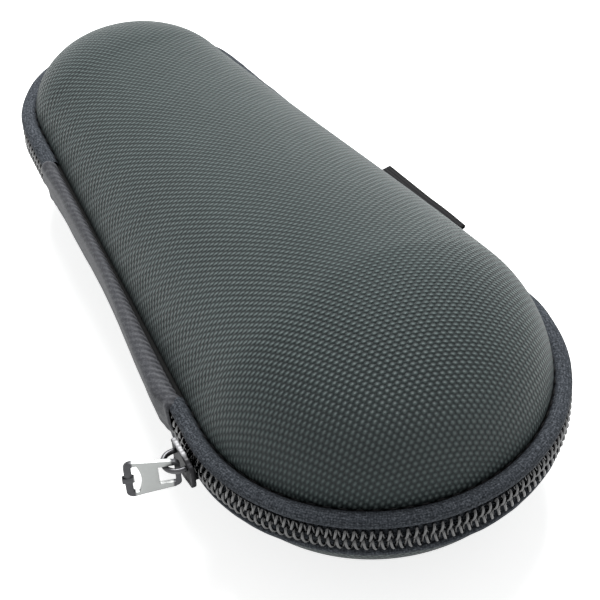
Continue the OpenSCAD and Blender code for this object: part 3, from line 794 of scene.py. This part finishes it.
# Elastic band across the lower half: its edges curl a little and it dips slightly in the middle.
def holdingStrap():
    y = np.linspace(strap["place"] - strap["width"] / 2, strap["place"] + strap["width"] / 2, 24)
    t = np.linspace(-1, 1, 80)
    x = t[:, None] * innerHalf(rim["seatIn"] + 0.1, y)[None, :]
    v = (y - strap["place"]) / (strap["width"] / 2)
    z = rim["legTop"] + 0.12 + 0.3 * (1 - t[:, None] ** 2) * (1 - 0.3 * v[None, :] ** 4)
    z = z + 0.05 * np.sin(x * 2 * math.pi / 2.6) * (1 - v[None, :] ** 2)
    points = spread(x, y[None, :], rim["zipHeight"] - z)
    cloth = spread(x, y[None, :])
    obj = thicken(meshFromGrid("holdingStrap", points, "lower_case", cloth=cloth, flip=True), strap["wall"])
    return paint(obj, "elastic")


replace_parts(holdingStrap(), "holding_strap")

net = {"edge": 12.0, "hem": 6.0, "pitch": 2.7, "thread": 0.24, "lift": 0.16, "tape": 2.6}


# Woven net of single threads: each thread runs from edge to edge and goes over and under as a sine.
def netThreads():
    reach = rim["wide"] - rim["netIn"] - 1.2
    top = -net["edge"] - net["hem"] + 1.0
    count = int(reach / net["pitch"])
    x = np.arange(-count, count + 1) * net["pitch"]
    low = wideY - np.sqrt(reach ** 2 - x ** 2)
    high = np.minimum(top, wideY + (reach - np.abs(x) * math.cos(taper)) / math.sin(taper))
    rows = int((top - wideY + reach) / net["pitch"])
    y = top - (np.arange(rows) + 0.5) * net["pitch"]
    bow = np.sqrt(np.clip(reach ** 2 - (y - wideY) ** 2, 0.01, None))
    half = np.where(y < wideY + reach * math.sin(taper), bow, innerHalf(rim["wide"] - reach, y))
    t = np.linspace(0, 1, 110)
    warpY = low[:, None] + (high - low)[:, None] * t[None, :]
    weftX = half[:, None] * (2 * t[None, :] - 1)
    k = math.pi / net["pitch"]
    warpZ = net["lift"] * np.cos((warpY - top) * k) * (-1.0) ** np.arange(len(x))[:, None]
    weftZ = net["lift"] * np.cos((weftX + x[-1]) * k) * (-1.0) ** np.arange(rows)[:, None]
    warp = spread(x[:, None], warpY, warpZ)
    weft = spread(weftX, y[:, None], weftZ)
    centre = np.concatenate([warp, weft], 0)
    a = np.linspace(0, 2 * math.pi, 5, endpoint=False)
    sideways = np.concatenate([np.tile([1.0, 0, 0], (len(x), 1)), np.tile([0, 1.0, 0], (rows, 1))], 0)
    ring = np.cos(a)[:, None] * sideways[:, None] + np.sin(a)[:, None] * upright
    radius = closedRadius(len(t), net["thread"])
    points = centre[:, :, None] + radius[None, :, None, None] * ring[:, None]
    points[..., 2] += rim["zipHeight"] + rim["legTop"] + 0.4
    return paint(meshFromCopies("netPocket", points, "lid"), "net")


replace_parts(netThreads(), "mesh_panel")


# Tape round the net: a flat band along the rim, from the hem on the hinge side to the hem on the tab side.
def netTape():
    top = -net["edge"] - net["hem"] + 0.4
    inset = rim["netIn"] + np.array([0.05, 0.3, 1.3, 2.3, net["tape"]])
    up = rim["legTop"] - np.array([0.25, 0.02, 0.0, 0.02, 0.2])
    d = (top - wideY - (rim["wide"] - inset) * math.sin(taper)) / math.cos(taper)
    t = np.linspace(0, 1, 300)
    s = -d[None, :] + (wideArc + 2 * d[None, :]) * t[:, None]
    points = rimPoints(s, inset[None, :], up[None, :] + wander(s, 6, 0.04, 71))
    cloth = spread(s, inset[None, :])
    obj = thicken(meshFromGrid("netTape", points, "lid", cloth=cloth, flip=True), 0.5)
    return paint(obj, "binding")


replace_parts(netTape(), "mesh_binding")


# Elastic hem: the net's free edge gathered into small even ruffles.
def netHem():
    y = np.linspace(-net["edge"] - net["hem"], -net["edge"], 14)
    t = np.linspace(-1, 1, 240)
    x = t[:, None] * innerHalf(rim["netIn"] + 0.1, y)[None, :]
    v = (y + net["edge"] + net["hem"] / 2) / (net["hem"] / 2)
    ruffles = 0.10 * np.sin(x * 2 * math.pi / 2.2 + 0.5 * v[None, :])
    z = rim["legTop"] - 0.35 - 0.15 * v[None, :] ** 4 + ruffles
    points = spread(x, y[None, :], rim["zipHeight"] + z)
    cloth = spread(x, y[None, :])
    obj = thicken(meshFromGrid("netHem", points, "lid", cloth=cloth), 0.6, 0.0)
    return paint(obj, "elastic")


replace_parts(netHem(), "mesh_hem")
print("inside made")

# Slider, crown and pull: the slider's angle is its place round the wide arc.
slider = {
    "angle": 177.0, "length": 11.0, "height": 8.2, "waist": 6.56, "gap": 1.1, "wall": 1.4, "corner": 1.0,
    "sunk": 0.38, "hookHalf": 3.85, "hookWall": 0.25, "hookReach": 1.65,
}
crown = {"seat": 2.5, "leg": 0.8, "radius": 3.2, "bar": 1.3, "lift": 1.5, "back": 0.3}
pull = {
    "out": 3.8, "side": 1.1, "drop": 0.5, "turn": -17.0, "length": 12.3, "eye": 8.0, "end": 11.0,
    "wall": 1.05, "hingeBar": 0.65, "sideBar": 1.2, "endBar": 1.75, "reach": 4.4, "window": 2.15,
    "nub": 1.6, "nubOut": 0.6, "nubIn": 0.5, "eyeCorner": 0.12, "windowCorner": 0.5, "nearTurn": 1.5,
    "farTurn": 1.8, "bevel": 0.28,
}


# Local points with X out from the rim and Y along the zip, brought to the slider's place.
def atSlider(points):
    a = math.radians(slider["angle"])
    out = np.array([math.cos(a), math.sin(a)])
    side = np.array([-out[1], out[0]])
    xy = np.array([0, wideY]) + out * (rim["wide"] + points[..., :1]) + side * points[..., 1:2]
    return np.concatenate([xy, rim["zipHeight"] + points[..., 2:]], -1)


# A plate as a row of rounded sections along Y, closed at both ends: each section is a superellipse.
def roundedPlate(y, halfHeight, halfWall, middle, power=0.32):
    q = np.linspace(0, 2 * math.pi, 40, endpoint=False)
    c, s = np.cos(q), np.sin(q)
    z = halfHeight[:, None] * np.sign(c) * np.abs(c) ** power
    x = halfWall[:, None] * np.sign(s) * np.abs(s) ** power
    return np.stack([middle + x, np.broadcast_to(y[:, None], x.shape), z], -1)


# A quarter circle's rise from 0 at a plate's ends to 1 one radius further in.
def endRound(y, half, radius):
    d = np.clip((half - np.abs(y)) / radius, 0, 1)
    return np.sqrt(np.clip(1 - (1 - d) ** 2, 0, 1))


# Slider plate with raised lips above and below, a waist towards the front, and the hook under the coil.
def sliderBody():
    half = slider["length"] / 2
    y = half * np.sin(np.linspace(-math.pi / 2, math.pi / 2, 72))
    tall = slider["height"] / 2 + (slider["waist"] - slider["height"]) / 2 * smooth(y, 0.0, 4.5)
    height = tall - slider["corner"] * (1 - endRound(y, half, slider["corner"]))
    wall = slider["wall"] / 2 * endRound(y, half, 0.35)
    points = roundedPlate(y, height, wall, slider["gap"] + slider["wall"] / 2)
    level = np.abs(points[..., 2]) / height[:, None]
    outer = points[..., 0] > slider["gap"] + slider["wall"] / 2 + 0.1
    sunk = slider["sunk"] * (1 - smooth(level, 0.62, 0.86)) * endRound(y, half, 1.6)[:, None]
    points[..., 0] -= np.where(outer, sunk, 0)
    points[..., 2] += 0.13 * np.sin(y * 3.1)[:, None] * smooth(points[..., 2] / height[:, None], 0.8, 1.0)
    hookHalf = slider["hookHalf"]
    hookY = hookHalf * np.sin(np.linspace(-math.pi / 2, math.pi / 2, 24))
    hookWall = slider["hookWall"] * endRound(hookY, hookHalf, 0.3)
    hookReach = slider["hookReach"] * endRound(hookY, hookHalf, 0.5)
    hook = roundedPlate(hookY, hookWall, hookReach, 0.15, 0.3)
    hook += np.array([0, -0.55, -3.0])
    verts = np.concatenate([points.reshape(-1, 3), hook.reshape(-1, 3)])
    quads = np.concatenate([
        gridQuads(*points.shape[:2], 0, closeCols=True),
        gridQuads(*hook.shape[:2], points[..., 0].size, closeCols=True),
    ])
    cloth = np.stack([verts[:, 2], verts[:, 1]], -1)
    obj = meshFromArrays("sliderPlate", atSlider(verts), quads, "slider", cloth, weld=True)
    return paint(obj, "slider")


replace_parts(sliderBody(), "slider_body")


# The crown: two short legs and half a circle of flattened wire.
def sliderCrown():
    q = np.linspace(-math.pi / 2, math.pi / 2, 40)
    reach = crown["seat"] + crown["leg"]
    arch = np.stack([reach + crown["radius"] * np.cos(q), crown["radius"] * np.sin(q)], -1)
    leg = np.linspace(crown["seat"] - 0.5, reach, 6, endpoint=False)
    first = np.stack([leg, np.full(6, -crown["radius"])], -1)
    last = np.stack([leg[::-1], np.full(6, crown["radius"])], -1)
    flat = np.concatenate([first, arch, last])
    centre = np.concatenate([flat - [0, crown["back"]], np.full((len(flat), 1), crown["lift"])], -1)
    radius = closedRadius(len(centre), crown["bar"] / 2)
    wire = tube(centre, np.tile(upright, (len(centre), 1)), radius, 20, 1.06)
    cloth = np.broadcast_to(wire[..., :1], wire.shape[:2] + (2,))
    points = atSlider(wire)
    obj = meshFromGrid("sliderCrown", points, "slider", closeCols=True, cloth=cloth, flip=True, weld=True)
    return paint(obj, "crown")


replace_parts(sliderCrown(), "slider_crown")


# Points along straight sides from corner to corner, a number on each side, without the last end.
def run(count, *corners):
    corners = np.array(corners, float)
    t = np.linspace(0, 1, count, endpoint=False)[:, None]
    return (corners[:-1, None] * (1 - t) + corners[1:, None] * t).reshape(-1, 2)


def quarter(centre, radius, start):
    a = np.radians(np.linspace(start, start + 90, 8, endpoint=False))
    return np.stack([centre[0] + radius * np.cos(a), centre[1] + radius * np.sin(a)], -1)


# A line across the pull with a square nub in the middle, that stands out by a little or in.
def nubbed(x, reach, out):
    nub = pull["nub"] / 2
    return run(2, (x, -reach), (x, -nub), (x + out, -nub), (x + out, nub), (x, nub), (x, reach))


# One outline of a ring: over the line next to the other ring, along a side, round a corner, across the end
# and back by the other corner. Side is 1 for the crown's ring and -1 for the far one.
def ringOutline(side, line, x, y, r, lean=0.0, nub=None, bow=None):
    lineX, lineY = line
    cornerX, sideY = x + side * r, y + lean * r
    return np.concatenate([
        run(8, (lineX, -side * lineY), (lineX, side * lineY)) if bow is None else bow,
        run(8, (lineX, side * lineY), (cornerX, side * sideY)),
        quarter((cornerX, side * (y - r)), r, 180 - 90 * side),
        run(10, (x, y - r), (x, r - y)) if nub is None else nubbed(x, y - r, nub),
        quarter((cornerX, side * (r - y)), r, 90 + 90 * side),
        run(8, (cornerX, -side * sideY), (lineX, -side * lineY)),
    ])


# The pull is two rings side by side, each running from its window out to the edge, that share the line
# between them. The eye window takes the crown, and the far window is bowed like a D.
def pullTab():
    eye, end, length, back = pull["eye"] / 2, pull["end"] / 2, pull["length"], pull["hingeBar"]
    windowStart = length - pull["endBar"] - pull["window"]
    middle = (pull["reach"] + windowStart) / 2
    slope = (end - eye) / (length - 1.6)
    shared = (middle, eye + slope * middle)
    h, w = eye - pull["sideBar"], end - pull["sideBar"]
    nearOut = ringOutline(1, shared, -back, eye, pull["nearTurn"], slope)
    nearIn = ringOutline(1, (pull["reach"], h), back, h, pull["eyeCorner"])
    farOut = ringOutline(-1, shared, length, end, pull["farTurn"], nub=pull["nubOut"])
    bowY = np.linspace(w, -w, 8, endpoint=False)
    bow = np.stack([windowStart + pull["end"] - np.sqrt(pull["end"] ** 2 - bowY ** 2), bowY], -1)
    corner = (windowStart + pull["end"] - math.sqrt(pull["end"] ** 2 - w ** 2), w)
    far = length - pull["endBar"]
    farIn = ringOutline(-1, corner, far, w, pull["windowCorner"], nub=-pull["nubIn"], bow=bow)
    pairs = ((nearIn, nearOut), (farIn, farOut))
    rings = [np.stack([inner, (inner + outer) / 2, outer]) for inner, outer in pairs]
    flat = np.concatenate([ring.reshape(-1, 2) for ring in rings])
    quads = np.concatenate([
        gridQuads(3, len(nearIn), 0, closeCols=True),
        gridQuads(3, len(farIn), 3 * len(nearIn), closeCols=True),
    ])
    a = math.radians(pull["turn"])
    local = np.stack([
        pull["out"] + flat[:, 0] * math.cos(a),
        pull["side"] + flat[:, 0] * math.sin(a),
        flat[:, 1] - pull["drop"],
    ], -1)
    obj = meshFromArrays("pullTab", atSlider(local), quads, "pull", flat, weld=True)
    thicken(obj, pull["wall"], 0.0)
    bevel = obj.modifiers.new("edge", "BEVEL")
    bevel.width, bevel.segments = pull["bevel"] * mm, 3
    bevel.limit_method, bevel.angle_limit = "ANGLE", math.radians(50)
    return paint(obj, "pull")


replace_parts(pullTab(), "pull_tab")
print("slider and pull made")

light = {
    "floorSize": 3000.0, "floorGlow": 0.76, "sky": 0.34, "seenSky": 1.0,
    "place": (0.22, 0.33, 0.86), "target": (0, 0, 0.03), "size": (0.5, 0.4), "power": 12.0,
}


# One for rays from the camera, from mirrors and through glass, and zero for the light that falls on things.
def seenRay(tree, m):
    path = tree.nodes.new("ShaderNodeLightPath").outputs
    seen = m("MAXIMUM", path["Is Camera Ray"], path["Is Glossy Ray"])
    return m("MAXIMUM", seen, path["Is Transmission Ray"])


# White where it is seen, with a share of the real light on it, so that it keeps a faint shadow.
def makeFloor(size, glow):
    verts = np.array([[-size, -size, 0], [size, -size, 0], [size, size, 0], [-size, size, 0]], float)
    obj = meshFromArrays("floor", verts, np.array([[0, 1, 2, 3]]), None, smoothed=False)
    mat, tree, shader, m = newMaterial("floorPaint")
    shader.inputs["Base Color"].default_value = (0.88, 0.89, 0.885, 1)
    finish(shader, 0.95, 0.05)
    shader.inputs["Emission Color"].default_value = (1, 1, 1, 1)
    tree.links.new(m("MULTIPLY", seenRay(tree, m), glow), shader.inputs["Emission Strength"])
    obj.data.materials.append(mat)


makeFloor(light["floorSize"], light["floorGlow"])


def makeWorld(level, shown):
    world = bpy.data.worlds.new("world")
    bpy.context.scene.world = world
    world.use_nodes = True
    tree = world.node_tree
    background = tree.nodes["Background"]
    background.inputs["Color"].default_value = (1, 1, 1, 1)
    m = mathMaker(tree)
    strength = m("ADD", m("MULTIPLY", seenRay(tree, m), shown - level), level)
    tree.links.new(strength, background.inputs["Strength"])


makeWorld(light["sky"], light["seenSky"])


def areaLight(name, place, target, size, power):
    data = bpy.data.lights.new(name, "AREA")
    data.shape, data.size, data.size_y, data.energy = "RECTANGLE", size[0], size[1], power
    obj = bpy.data.objects.new(name, data)
    bpy.context.scene.collection.objects.link(obj)
    obj.location = place
    obj.rotation_euler = (Vector(target) - Vector(place)).to_track_quat("-Z", "Y").to_euler()


areaLight("backSoftbox", light["place"], light["target"], light["size"], light["power"])

# The photo's angle: degrees, millimetres, and the focal length in pixels of a square picture.
view = {
    "azimuth": -26.85, "elevation": 42.83, "roll": -3.85, "distance": 480.0, "focal": 1921.0,
    "pixels": 600, "sensor": 36, "target": (1.21, -18.78, 27.52),
}


def makeCamera():
    a, e, r = (math.radians(view[k]) for k in ("azimuth", "elevation", "roll"))
    back = np.array([math.sin(a) * math.cos(e), -math.cos(a) * math.cos(e), math.sin(e)])
    right = np.cross(-back, [0, 0, 1])
    right /= np.linalg.norm(right)
    up = np.cross(right, -back)
    tilted = right * math.cos(r) + up * math.sin(r)
    level = -right * math.sin(r) + up * math.cos(r)
    data = bpy.data.cameras.new("camera")
    data.sensor_width = view["sensor"]
    data.lens = view["focal"] / view["pixels"] * view["sensor"]
    data.clip_start, data.clip_end = 0.02, 20
    obj = bpy.data.objects.new("camera", data)
    bpy.context.scene.collection.objects.link(obj)
    place = (np.array(view["target"]) + back * view["distance"]) * mm
    obj.matrix_world = Matrix([*np.stack([tilted, level, back, place], -1).tolist(), (0, 0, 0, 1)])
    bpy.context.scene.camera = obj


makeCamera()
scene = bpy.context.scene
scene.view_settings.view_transform = "Standard"
print("stage made")
